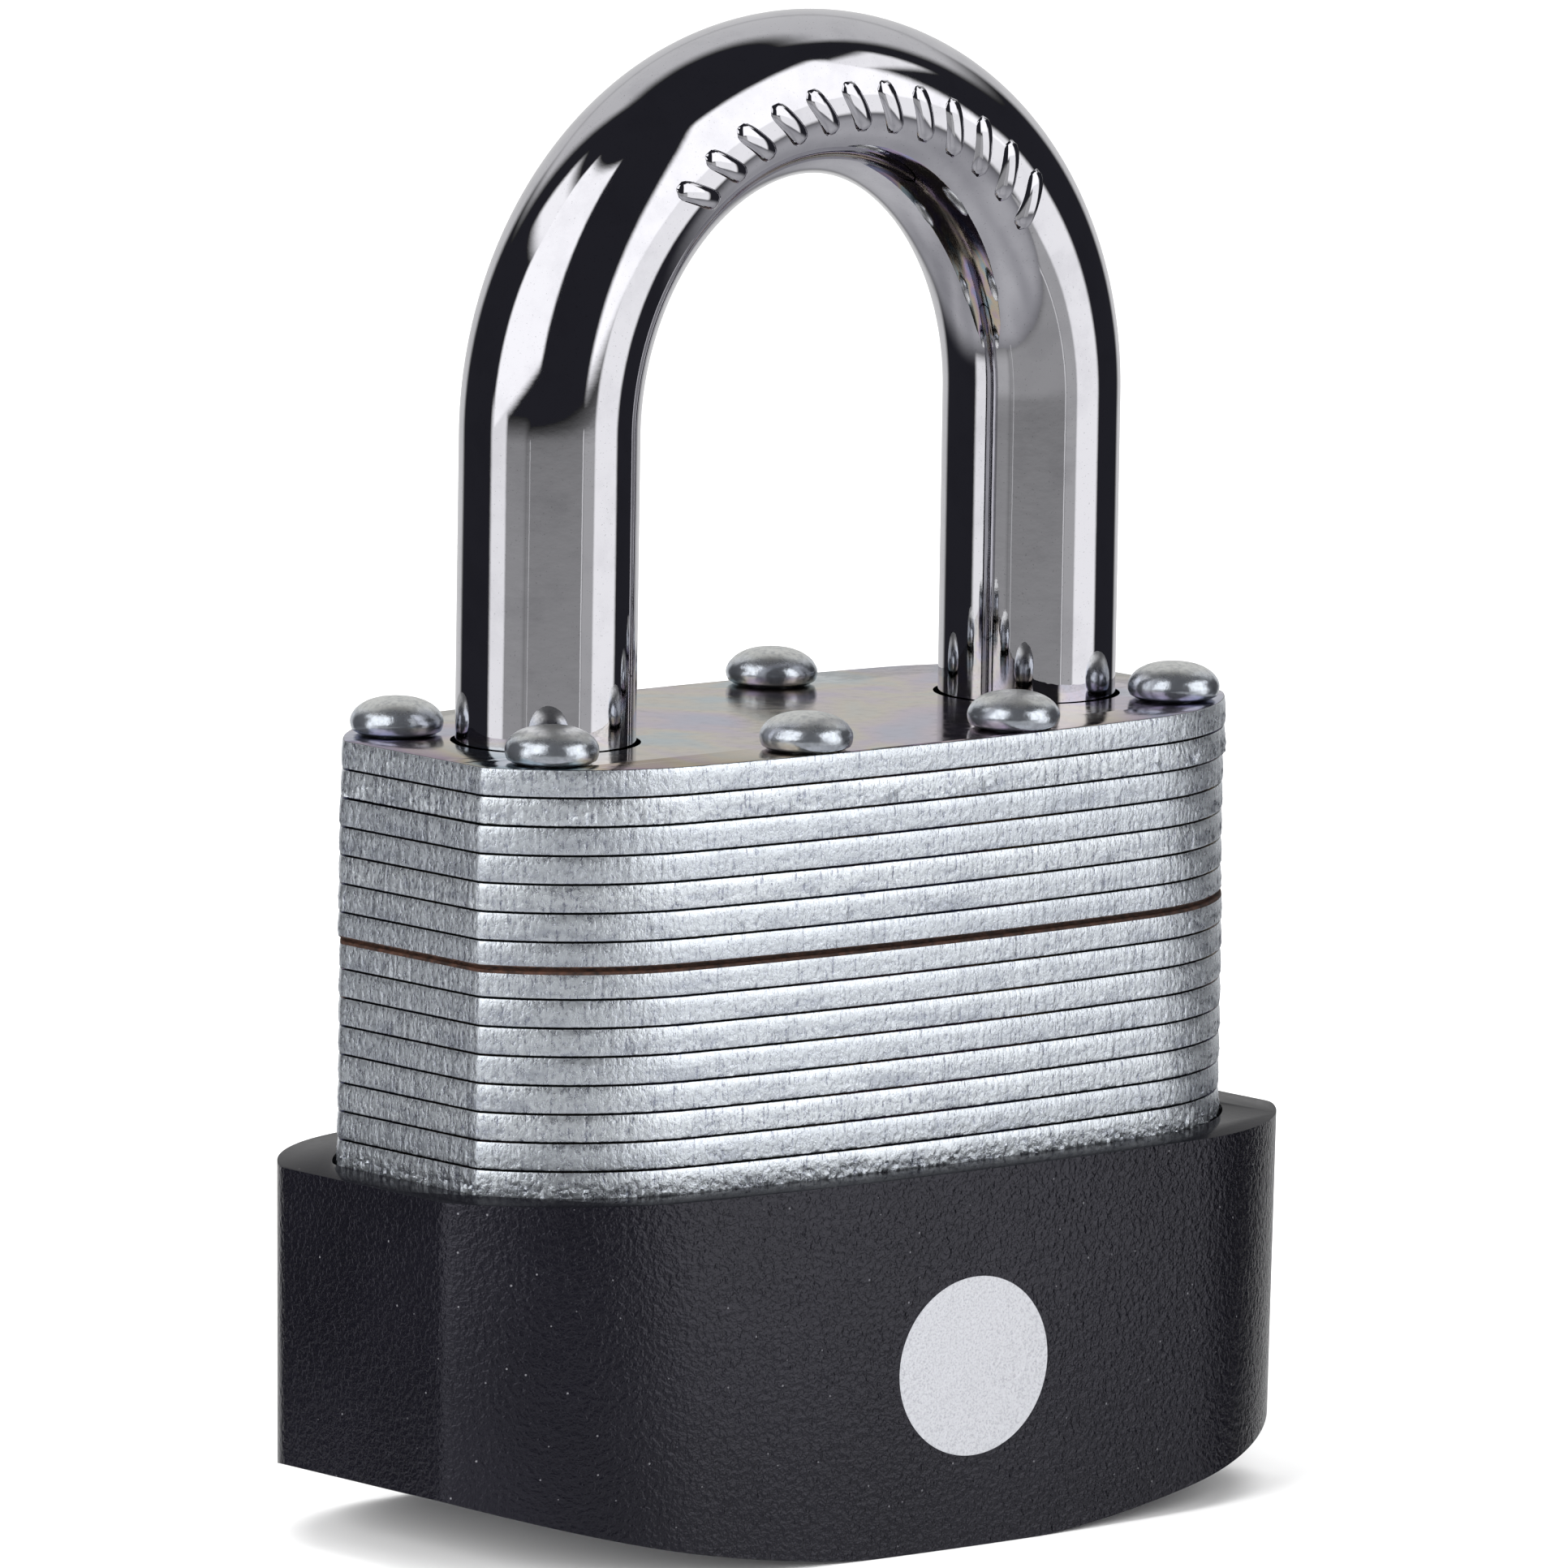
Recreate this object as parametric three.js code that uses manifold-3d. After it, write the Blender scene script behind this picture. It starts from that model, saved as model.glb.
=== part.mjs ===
// Laminated steel padlock with a chromed shackle and a black bumper. Millimetres, +Z up.
// The body's width runs along X, its front faces -Y, and it stands on z = 0.
import * as THREE from 'three';
import { mergeVertices } from 'three/addons/utils/BufferGeometryUtils.js';
import Module from 'manifold-3d';

const wasm = await Module();
wasm.setup();

// Laminated body
const PLATE_COUNT = 24;
const PLATE_PITCH = 1.5;
const PLATE_GAP = 0.06;
const WIDE_GAP = 0.18;
const WIDE_GAP_PLATE = 7;
const STACK_BOTTOM = 6.3;
const STACK_TOP = STACK_BOTTOM + PLATE_COUNT * PLATE_PITCH;
const BODY = { halfWidth: 25.4, cornerY: 5.75, bendX: 15.8, bendY: 11.5, halfDepth: 12.2 };
const SHIFTED_PLATES = { first: 3, last: 7, x: -0.1 };

// Rivets
const CORNER_RIVET = { x: 21.3, y: 6.4 };
const MIDDLE_RIVET = { x: 7.1, y: 9.9 };
const RIVET_RADIUS = 1.4;
const RIVET_HOLE = 1.85;
const RIVET_HEAD = { radius: 2.45, height: 1.9, rim: 0.6 };
const RIVET_FOOT = { spread: 0.12, height: 0.9, inset: 0.1 };
const CONTACT_GAP = 0.06;

// Shackle
const LEG_X = 16.5;
const BAR_RADIUS = 4.73;
const LEG_HOLE = 5.12;
const SPRING_LINE = STACK_TOP + 16.1;
const CROWN = { thinned: 0.43, widened: 0.22 };
const HEEL_BOTTOM = 18.3;
const TOE_BOTTOM = 27.65;
const TOE_ROOM = 0.5;
const BAR_SIDES = 14;
const ARCH_STEPS = 14;
const END_CHAMFER = 0.8;

// Locking balls and their cam
const LIFT = 15.2;
const TURN = Math.PI / 2;
const BALL_RADIUS = 3.2;
const BALL_BITE = 1.1;
const BALL_TRAVEL = 3.8;
const BALL_X = LEG_X - BAR_RADIUS + BALL_BITE - BALL_RADIUS;
const BALL_PLATES = { first: 4, last: 8 };
const CLEARANCE = 0.3;
const CHAMBER = { halfWidth: BALL_RADIUS + 0.35, bore: 6.67 };
const CAM = { radius: BALL_X - BALL_RADIUS - CLEARANCE, bottom: 31.4, top: 36.6 };
const CAM_SLOT = { halfLength: 2.6, halfWidth: 1.2, top: 33.7 };
const TONGUE = { halfLength: 2.3, halfWidth: 0.9, top: 33.4 };

// Key cylinder, with its pins standing along +Y
const PLUG = { radius: 4.5, bottom: 6.6, top: 29.9, neck: 3.2, neckTop: 31.1 };
const CLIP = { radius: 5.5, bore: 3.55, bottom: 30.1, top: 30.8 };
const SHELL = { radius: 6.4, bore: 4.66, bottom: 8.1, top: 29.9, halfWidth: 2.6, crest: 9.5 };
const SHELL_HOLE = { radius: 6.8, halfWidth: 2.95, crest: 10.6 };
const KEYWAY = { halfWidth: 0.8, low: -3.6, high: 2.2, top: 27.6 };
const PLUG_WINDOW = 4.95;
const PIN_COUNT = 5;
const PIN_PITCH = 3.7;
const FIRST_PIN_Z = 11.4;
const PIN_RADIUS = 1.1;
const PIN_CHAMBER = 1.42;
const CHAMBER_DEPTH_SPARE = 0.2;
const PIN_TAPER = { key: 0.5, driver: 0.2 };
const KEY_PIN = { foot: 0.8, head: 4.2 };
const DRIVER_PIN = { foot: 4.8, head: 6.9 };
const PIN_SPRING = { foot: 7.05, head: 9.4, radius: 0.75, wire: 0.14, turns: 3 };
const COVER = { halfWidth: 2.2, low: 9.7, high: 10.25 };

// Spring under the shackle's heel
const HEEL_SPRING = { radius: 3.6, wire: 0.6, bottom: 8, top: 18, turns: 6 };

// Bumper
const BUMPER = { halfWidth: 28.4, cornerY: 6.8, bendX: 17, bendY: 14.1, halfDepth: 14.8 };
const BUMPER_TOP = 20;
const BUMPER_FLOOR = 6;
const BUMPER_FIT = 0.25;
const FOOT_HALF_WIDTH = 6;
const END_RISE = 4.3;
const KEY_WINDOW = { halfWidth: 8.5, halfDepth: 6, corner: 3 };

// How far a cutting tool runs past the surface that it cuts
const PAST = 1;

const group = new THREE.Group();

const MATERIALS = {
  zinc: { color: 0xb9bec4, roughness: 0.38, metalness: 0.9 },
  rivet: { color: 0xb4b6b8, roughness: 0.25, metalness: 0.95 },
  chrome: { color: 0xdfe2e6, roughness: 0.05, metalness: 1 },
  spring: { color: 0x8f949a, roughness: 0.35, metalness: 0.9 },
  ball: { color: 0xcfd2d6, roughness: 0.1, metalness: 1 },
  brass: { color: 0xb8923f, roughness: 0.3, metalness: 0.9 },
  plastic: { color: 0x1c1c20, roughness: 0.55, metalness: 0 },
};

function addMesh(name, geometry, material) {
  const mesh = new THREE.Mesh(geometry, new THREE.MeshStandardMaterial(MATERIALS[material]));
  mesh.name = name;
  group.add(mesh);
}

// ---- Booleans -------------------------------------------------------------------------

function toSolid(geometry) {
  const bare = geometry.clone();
  bare.deleteAttribute('normal');
  bare.deleteAttribute('uv');
  const merged = mergeVertices(bare, 1e-4);
  const vertProperties = new Float32Array(merged.attributes.position.array);
  const triVerts = new Uint32Array(merged.index.array);
  return new wasm.Manifold(new wasm.Mesh({ numProp: 3, vertProperties, triVerts }));
}

function toGeometry(solid) {
  const mesh = solid.getMesh();
  const geometry = new THREE.BufferGeometry();
  geometry.setAttribute('position', new THREE.BufferAttribute(mesh.vertProperties, 3));
  geometry.setIndex(new THREE.BufferAttribute(mesh.triVerts, 1));
  geometry.computeVertexNormals();
  return geometry;
}

function cut(geometry, tools) {
  return toGeometry(tools.reduce((solid, tool) => solid.subtract(toSolid(tool)), toSolid(geometry)));
}

function join(geometries) {
  const [first, ...rest] = geometries;
  return toGeometry(rest.reduce((solid, geometry) => solid.add(toSolid(geometry)), toSolid(first)));
}

// ---- Basic shapes ---------------------------------------------------------------------

function box(low, high) {
  const size = high.map((value, axis) => value - low[axis]);
  const centre = high.map((value, axis) => (value + low[axis]) / 2);
  return new THREE.BoxGeometry(...size).translate(...centre);
}

// An upright cylinder on the point (x, y).
function upright(x, y, radius, bottom, top, sides) {
  const cylinder = new THREE.CylinderGeometry(radius, radius, top - bottom, sides);
  return cylinder.rotateX(Math.PI / 2).translate(x, y, (bottom + top) / 2);
}

function slab(shape, bottom, top) {
  const settings = { depth: top - bottom, bevelEnabled: false };
  return new THREE.ExtrudeGeometry(shape, settings).translate(0, 0, bottom);
}

function polygon(x, y, radius, sides, PathClass) {
  const points = [];
  for (let i = 0; i < sides; i += 1) {
    const angle = (2 * Math.PI * i) / sides;
    points.push(new THREE.Vector2(x + radius * Math.cos(angle), y + radius * Math.sin(angle)));
  }
  return new PathClass(points);
}

// Points on an arc about (cx, cy), with angles measured from +Y towards +X.
function arcPoints(cx, cy, radius, start, end, steps) {
  const points = [];
  for (let i = 0; i <= steps; i += 1) {
    const angle = start + ((end - start) * i) / steps;
    points.push([cx + radius * Math.sin(angle), cy + radius * Math.cos(angle)]);
  }
  return points;
}

// A flat-ended outline with a broad arc along its front and back, and a tighter arc, tangent
// to it, from the bend down to each end.
function bulgedOutline({ halfWidth, cornerY, bendX, bendY, halfDepth }, grow = 0) {
  const rise = halfDepth - bendY;
  const broad = (bendX * bendX + rise * rise) / (2 * rise);
  const bendAngle = Math.asin(bendX / broad);
  const chord = Math.hypot(halfWidth - bendX, bendY - cornerY);
  const chordAngle = Math.atan2(bendY - cornerY, halfWidth - bendX);
  const tight = chord / (2 * Math.sin(chordAngle - bendAngle));
  const endAngle = 2 * chordAngle - bendAngle;
  const tightX = bendX - tight * Math.sin(bendAngle);
  const tightY = bendY - tight * Math.cos(bendAngle);
  const quarter = [
    ...arcPoints(0, halfDepth - broad, broad + grow, 0, bendAngle, 2),
    ...arcPoints(tightX, tightY, tight + grow, bendAngle, endAngle, 3).slice(1),
  ];
  const endX = halfWidth + grow;
  quarter[quarter.length - 1][0] = endX;
  const back = [...quarter.map(([x, y]) => [-x, y]).reverse(), ...quarter.slice(1)];
  const front = back.map(([x, y]) => [-x, -y]);
  return [...back.reverse(), ...front.reverse()].map(([x, y]) => new THREE.Vector2(x, y));
}

// ---- Laminated body -------------------------------------------------------------------

const rivetPlaces = [];
for (const { x, y } of [CORNER_RIVET, MIDDLE_RIVET]) {
  rivetPlaces.push([-x, -y], [x, -y], [-x, y], [x, y]);
}

const plateTop = (number) => STACK_TOP - (number - 1) * PLATE_PITCH;
const chamberTop = plateTop(BALL_PLATES.first);
const chamberBottom = plateTop(BALL_PLATES.last + 1);
const ballZ = (chamberTop + chamberBottom) / 2;

function ballChamber(bottom, top) {
  const slot = box([-LEG_X, -CHAMBER.halfWidth, bottom], [LEG_X, CHAMBER.halfWidth, top]);
  return [slot, upright(0, 0, CHAMBER.bore, bottom, top, 16)];
}

function shellHole(bottom, top) {
  const crest = box([-SHELL_HOLE.halfWidth, 0, bottom], [SHELL_HOLE.halfWidth, SHELL_HOLE.crest, top]);
  return [upright(0, 0, SHELL_HOLE.radius, bottom, top, 16), crest];
}

function plate(number) {
  const shape = new THREE.Shape(bulgedOutline(BODY));
  for (const [x, y] of rivetPlaces) {
    shape.holes.push(polygon(x, y, RIVET_HOLE, 6, THREE.Path));
  }
  const top = plateTop(number);
  const gap = number === WIDE_GAP_PLATE ? WIDE_GAP : PLATE_GAP;
  const bottom = top - PLATE_PITCH + gap;
  if (number < PLATE_COUNT) {
    shape.holes.push(polygon(-LEG_X, 0, LEG_HOLE, 12, THREE.Path));
  }
  if (top > TOE_BOTTOM - TOE_ROOM) {
    shape.holes.push(polygon(LEG_X, 0, LEG_HOLE, 12, THREE.Path));
  }
  if (number === PLATE_COUNT) {
    shape.holes.push(polygon(0, 0, PLUG_WINDOW, 14, THREE.Path));
  }
  const tools = [];
  if (number >= BALL_PLATES.first && number <= BALL_PLATES.last) {
    tools.push(...ballChamber(bottom - PAST, top + PAST));
  } else if (number > BALL_PLATES.last && number < PLATE_COUNT) {
    tools.push(...shellHole(bottom - PAST, top + PAST));
  }
  const sheet = slab(shape, bottom, top);
  const { first, last, x } = SHIFTED_PLATES;
  const shift = number >= first && number <= last ? x : 0;
  return (tools.length ? cut(sheet, tools) : sheet).translate(shift, 0, 0);
}

for (let number = 1; number <= PLATE_COUNT; number += 1) {
  addMesh(`plate_${String(number).padStart(2, '0')}`, plate(number), 'zinc');
}

// ---- Rivets ---------------------------------------------------------------------------

// A domed head on a plain shank, whose foot is peened wider inside the bottom plate. The head
// narrows to six tenths of its radius at 85 % of its height.
function rivet(x, y) {
  const seat = STACK_TOP + CONTACT_GAP;
  const foot = STACK_BOTTOM + RIVET_FOOT.inset;
  const { radius, height, rim } = RIVET_HEAD;
  const profile = [
    [0, foot],
    [RIVET_RADIUS + RIVET_FOOT.spread, foot],
    [RIVET_RADIUS, foot + RIVET_FOOT.height],
    [RIVET_RADIUS, seat],
    [radius - rim / 2, seat],
    [radius, seat + rim / 2],
    [radius - rim / 4, seat + rim],
    [radius * 0.6, seat + height * 0.85],
    [0, seat + height],
  ].map(([r, z]) => new THREE.Vector2(r, z));
  return new THREE.LatheGeometry(profile, 8).rotateX(Math.PI / 2).translate(x, y, 0);
}

rivetPlaces.forEach(([x, y], i) => addMesh(`rivet_${i + 1}`, rivet(x, y), 'rivet'));

// ---- Shackle --------------------------------------------------------------------------

// Stations along the bent bar, from the heel's foot over the arch to the toe's foot. Each has
// its centre, its outward direction in the XZ plane, and its half-thickness in and across it.
function shackleStations() {
  const straight = (x, z, radius) => ({ x, z, nx: Math.sign(x), nz: 0, deep: radius, wide: radius });
  const stations = [
    straight(-LEG_X, HEEL_BOTTOM, BAR_RADIUS - END_CHAMFER),
    straight(-LEG_X, HEEL_BOTTOM + END_CHAMFER, BAR_RADIUS),
  ];
  for (let i = 0; i <= ARCH_STEPS; i += 1) {
    const angle = Math.PI * (1 - i / ARCH_STEPS);
    const pressed = Math.sin(angle) ** 2;
    const deep = BAR_RADIUS - CROWN.thinned * pressed;
    const reach = LEG_X + BAR_RADIUS - deep;
    const nx = Math.cos(angle);
    const nz = Math.sin(angle);
    const wide = BAR_RADIUS + CROWN.widened * pressed;
    stations.push({ x: reach * nx, z: SPRING_LINE + reach * nz, nx, nz, deep, wide });
  }
  stations.push(
    straight(LEG_X, TOE_BOTTOM + END_CHAMFER, BAR_RADIUS),
    straight(LEG_X, TOE_BOTTOM, BAR_RADIUS - END_CHAMFER),
  );
  return stations;
}

// Bends a straight unit bar onto the stations, one ring of its vertices to each.
function bentBar(stations, sides) {
  const rings = stations.length - 1;
  const bar = new THREE.CylinderGeometry(1, 1, rings, sides, rings);
  const position = bar.attributes.position;
  for (let i = 0; i < position.count; i += 1) {
    const station = stations[Math.round(rings / 2 - position.getY(i))];
    const out = position.getX(i) * station.deep;
    const across = -position.getZ(i) * station.wide;
    position.setXYZ(i, station.x + out * station.nx, across, station.z + out * station.nz);
  }
  return bar;
}

// The pocket that a locking ball leaves as it draws back while the shackle rises.
function ballPocket(side) {
  const share = (BALL_BITE + CLEARANCE) / BALL_TRAVEL;
  const run = share * BALL_TRAVEL;
  const drop = share * LIFT;
  const length = Math.hypot(run, drop);
  const pocket = new THREE.CapsuleGeometry(BALL_RADIUS + CLEARANCE, length, 5, 14);
  pocket.rotateY(Math.PI / 2).rotateX(Math.PI / 2).rotateY(side * Math.atan2(run, drop));
  return pocket.translate(side * (BALL_X - run / 2), 0, ballZ - drop / 2);
}

const bar = bentBar(shackleStations(), BAR_SIDES);
addMesh('shackle', cut(bar, [ballPocket(-1), ballPocket(1)]), 'chrome');

// ---- Springs --------------------------------------------------------------------------

class Helix extends THREE.Curve {
  constructor(radius, start, end, turns) {
    super();
    Object.assign(this, { radius, start, end, turns });
  }

  getPoint(t) {
    const angle = 2 * Math.PI * this.turns * t;
    const z = this.start + (this.end - this.start) * t;
    return new THREE.Vector3(this.radius * Math.cos(angle), this.radius * Math.sin(angle), z);
  }
}

function coil({ radius, wire, turns }, start, end, stepsPerTurn, sides) {
  const path = new Helix(radius, start + wire, end - wire, turns);
  const section = polygon(0, 0, wire, sides, THREE.Shape);
  const settings = { steps: turns * stepsPerTurn, extrudePath: path };
  return new THREE.ExtrudeGeometry(section, settings);
}

const heelSpring = coil(HEEL_SPRING, HEEL_SPRING.bottom, HEEL_SPRING.top, 8, 5);
addMesh('shackle_spring', heelSpring.translate(-LEG_X, 0, 0), 'spring');

// ---- Locking balls and cam ------------------------------------------------------------

function ball(side) {
  return new THREE.SphereGeometry(BALL_RADIUS, 12, 8).translate(side * BALL_X, 0, ballZ);
}

addMesh('ball_left', ball(-1), 'ball');
addMesh('ball_right', ball(1), 'ball');

// How far the cam reaches at an angle of its own, so that it stays clear of both balls while
// it turns and they draw back.
function camReach(angle) {
  const radius = BALL_RADIUS + CLEARANCE;
  const steps = 45;
  let reach = CAM.radius;
  for (let i = 0; i <= steps; i += 1) {
    const distance = BALL_X - (BALL_TRAVEL * i) / steps;
    for (const side of [0, Math.PI]) {
      const offset = angle - side + (TURN * i) / steps;
      const aside = distance * Math.sin(offset);
      if (Math.cos(offset) > 0 && Math.abs(aside) < radius) {
        const near = distance * Math.cos(offset) - Math.sqrt(radius ** 2 - aside ** 2);
        reach = Math.min(reach, near);
      }
    }
  }
  return reach;
}

function cam() {
  const points = [];
  const corners = 36;
  for (let i = 0; i < corners; i += 1) {
    const angle = (2 * Math.PI * i) / corners;
    const reach = camReach(angle);
    points.push(new THREE.Vector2(reach * Math.cos(angle), reach * Math.sin(angle)));
  }
  const { halfLength, halfWidth, top } = CAM_SLOT;
  const slot = box([-halfLength, -halfWidth, CAM.bottom - PAST], [halfLength, halfWidth, top]);
  return cut(slab(new THREE.Shape(points), CAM.bottom, CAM.top), [slot]);
}

addMesh('driver_cam', cam(), 'spring');

// ---- Key cylinder ---------------------------------------------------------------------

const pinHeights = Array.from({ length: PIN_COUNT }, (_, i) => FIRST_PIN_Z + i * PIN_PITCH);

// A cylinder lying along +Y at the height of one pin.
function alongY(radius, low, high, z, sides) {
  const cylinder = new THREE.CylinderGeometry(radius, radius, high - low, sides);
  return cylinder.translate(0, (low + high) / 2, z);
}

function plug() {
  const tongue = box(
    [-TONGUE.halfLength, -TONGUE.halfWidth, PLUG.top - PAST],
    [TONGUE.halfLength, TONGUE.halfWidth, TONGUE.top],
  );
  const whole = join([
    upright(0, 0, PLUG.radius, PLUG.bottom, PLUG.top, 16),
    upright(0, 0, PLUG.neck, PLUG.top - PAST, PLUG.neckTop, 12),
    tongue,
  ]);
  const keyway = box(
    [-KEYWAY.halfWidth, KEYWAY.low, PLUG.bottom - PAST],
    [KEYWAY.halfWidth, KEYWAY.high, KEYWAY.top],
  );
  const floor = KEY_PIN.foot - CHAMBER_DEPTH_SPARE;
  const chambers = pinHeights.map((z) => alongY(PIN_CHAMBER, floor, PLUG.radius + PAST, z, 8));
  return cut(whole, [keyway, ...chambers]);
}

function cylinderShell() {
  const { radius, bottom, top, halfWidth, crest } = SHELL;
  const housing = box([-halfWidth, PLUG.radius, bottom], [halfWidth, crest, top]);
  const whole = join([upright(0, 0, radius, bottom, top, 16), housing]);
  const bore = upright(0, 0, SHELL.bore, bottom - PAST, top + PAST, 20);
  const chambers = pinHeights.map((z) => alongY(PIN_CHAMBER, 0, crest + PAST, z, 8));
  return cut(whole, [bore, ...chambers]);
}

function lathedPin({ foot, head }, taper, z) {
  const profile = [
    [0, foot],
    [PIN_RADIUS - taper, foot],
    [PIN_RADIUS, foot + taper],
    [PIN_RADIUS, head],
    [0, head],
  ].map(([r, y]) => new THREE.Vector2(r, y));
  return new THREE.LatheGeometry(profile, 8).translate(0, 0, z);
}

function pinSpring(z) {
  const spring = coil(PIN_SPRING, PIN_SPRING.foot, PIN_SPRING.head, 6, 4);
  return spring.rotateX(-Math.PI / 2).translate(0, 0, z);
}

addMesh('plug', plug(), 'brass');
addMesh('cylinder_shell', cylinderShell(), 'brass');
addMesh('plug_clip', cut(upright(0, 0, CLIP.radius, CLIP.bottom, CLIP.top, 16), [
  upright(0, 0, CLIP.bore, CLIP.bottom - PAST, CLIP.top + PAST, 12),
]), 'spring');
addMesh('chamber_cover', box(
  [-COVER.halfWidth, COVER.low, SHELL.bottom],
  [COVER.halfWidth, COVER.high, SHELL.top],
), 'brass');
pinHeights.forEach((z, i) => {
  addMesh(`key_pin_${i + 1}`, lathedPin(KEY_PIN, PIN_TAPER.key, z), 'brass');
  addMesh(`driver_pin_${i + 1}`, lathedPin(DRIVER_PIN, PIN_TAPER.driver, z), 'brass');
  addMesh(`pin_spring_${i + 1}`, pinSpring(z), 'spring');
});

// ---- Bumper ---------------------------------------------------------------------------

// The bumper's side view: a flat foot in the middle and an arc that rises to both ends.
function bumperSideView() {
  const run = BUMPER.halfWidth - FOOT_HALF_WIDTH;
  const beyond = 1 + PAST / BUMPER.halfWidth;
  const steps = 6;
  const right = [];
  for (let i = 0; i <= steps; i += 1) {
    const share = (i / steps) * beyond;
    const x = FOOT_HALF_WIDTH + run * share;
    const lift = (x * x - FOOT_HALF_WIDTH ** 2) / (BUMPER.halfWidth ** 2 - FOOT_HALF_WIDTH ** 2);
    right.push([x, END_RISE * lift]);
  }
  const edge = right[steps][0];
  right.push([edge, BUMPER_TOP]);
  const left = right.map(([x, z]) => [-x, z]).reverse();
  return new THREE.Shape([...right, ...left].map(([x, z]) => new THREE.Vector2(x, z)));
}

function roundedRectangle({ halfWidth, halfDepth, corner }) {
  const x = halfWidth - corner;
  const y = halfDepth - corner;
  const right = Math.PI / 2;
  const corners = [
    arcPoints(x, y, corner, 0, right, 3),
    arcPoints(x, -y, corner, right, 2 * right, 3),
    arcPoints(-x, -y, corner, 2 * right, 3 * right, 3),
    arcPoints(-x, y, corner, 3 * right, 4 * right, 3),
  ];
  return new THREE.Shape(corners.flat().reverse().map(([px, py]) => new THREE.Vector2(px, py)));
}

function bumper() {
  const outer = toSolid(slab(new THREE.Shape(bulgedOutline(BUMPER)), -PAST, BUMPER_TOP + PAST));
  const deep = 2 * (BUMPER.halfDepth + PAST);
  const side = new THREE.ExtrudeGeometry(bumperSideView(), { depth: deep, bevelEnabled: false });
  side.rotateX(Math.PI / 2).translate(0, deep / 2, 0);
  const recess = new THREE.Shape(bulgedOutline(BODY, BUMPER_FIT));
  const pocket = slab(recess, BUMPER_FLOOR, BUMPER_TOP + PAST);
  const window = slab(roundedRectangle(KEY_WINDOW), -PAST, BUMPER_FLOOR + PAST);
  return toGeometry(outer.intersect(toSolid(side)).subtract(toSolid(pocket)).subtract(toSolid(window)));
}

addMesh('bumper', bumper(), 'plastic');

export default group;
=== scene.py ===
"""Looks of a laminated padlock: riveted zinc plates, a chromed shackle and a black bumper.

Lengths named in millimetres are turned to metres by MM where a mesh is made.
"""

import math

import bmesh
import bpy
import numpy as np
from mathutils import Matrix, Vector
from mathutils.geometry import tessellate_polygon


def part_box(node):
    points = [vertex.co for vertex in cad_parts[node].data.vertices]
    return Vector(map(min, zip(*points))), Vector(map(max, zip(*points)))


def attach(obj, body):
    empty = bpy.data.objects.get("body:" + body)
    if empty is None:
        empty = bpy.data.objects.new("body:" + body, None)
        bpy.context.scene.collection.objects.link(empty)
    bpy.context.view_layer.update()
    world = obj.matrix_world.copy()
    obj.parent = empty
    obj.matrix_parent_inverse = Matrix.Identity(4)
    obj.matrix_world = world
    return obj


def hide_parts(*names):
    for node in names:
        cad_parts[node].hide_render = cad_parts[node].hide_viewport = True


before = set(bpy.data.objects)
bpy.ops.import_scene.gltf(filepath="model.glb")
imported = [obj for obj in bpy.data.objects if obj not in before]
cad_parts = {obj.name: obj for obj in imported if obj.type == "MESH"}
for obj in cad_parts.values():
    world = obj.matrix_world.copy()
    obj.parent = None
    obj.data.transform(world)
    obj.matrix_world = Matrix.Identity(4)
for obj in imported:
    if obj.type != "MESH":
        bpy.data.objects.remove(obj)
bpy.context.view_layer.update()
MM = 0.001

# Laminated body: plates are counted from the top, and those below the last shown stay CAD nodes
PLATES_SHOWN = 15
WIDE_GAP_PLATE = 7
BODY = dict(half_width=25.4, corner_y=5.75, bend_x=15.8, bend_y=11.5, half_depth=12.2)
OUTLINE_POINTS = 900
HOLE_POINTS = dict(rivet=24, leg=72, chamber=320, shell=160)
# How far short of a circle's ends a loop of heights stops
SLIVER = 0.001
LEG_X = 16.5
LEG_HOLE = 4.98
TOE_PLATES = 11
BALL_PLATES = range(4, 9)
CHAMBER = dict(half_width=3.55, bore=6.67)
SHELL_HOLE = dict(radius=6.8, half_width=2.95, crest=10.6)
RIVET_HOLE = 1.85
# Down the edge of a plate, as a share of its thickness: the inset and how much it is torn
EDGE_ROWS = [(0.0, 0.100, 0.0), (0.018, 0.060, 0.2), (0.045, 0.044, 0.2), (0.12, 0.028, 0.3),
             (0.21, 0.014, 0.4), (0.32, 0.006, 0.5), (0.43, 0.001, 0.8), (0.52, 0.0, 1.2),
             (0.62, 0.002, 1.4), (0.72, 0.004, 1.3), (0.82, 0.006, 1.3), (0.93, 0.010, 1.3),
             (0.975, 0.030, 1.0), (1.0, 0.09, 0.5)]
# Plates whose torn band is rougher than the rest, and how much
ROUGH_PLATES = {2: 1.7, 15: 2.0}
# How deep the torn band goes: from upright streaks, from single points and from slow waves
TEAR = dict(streaks=0.009, points=0.011, waves=0.02)
# How many points of the outline a slow wave is averaged over
WAVE = 25
RUSTED_ROWS = 2
RUST_FILM = dict(inset=0.30, uneven=0.05, depth=1.5, seed=70)
# A plate's material slots
EDGE, FACE, RUST = range(3)

# Rivets
RIVET_PLACES = [(sx * x, sy * y) for x, y in ((21.3, 6.4), (7.1, 9.9))
                for sx, sy in ((-1, -1), (1, -1), (-1, 1), (1, 1))]
RIVET = dict(radius=2.45, height=1.9, shank=1.4, belly=0.62, sides=56)
# The head's side turns under by this angle, in radians, and draws in by these shares of the belly
UNDER = dict(turn=0.9, seat=0.62, side=0.55)
# Powers that shape the head's curve across and up, and how much the heads differ
DOME = dict(steps=22, across=0.82, up=1.05, uneven=0.05, seed=100)

# Shackle
BAR_RADIUS = 4.73
# Where the straight legs end and the arch starts
SPRING_LINE = 58.4
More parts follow.
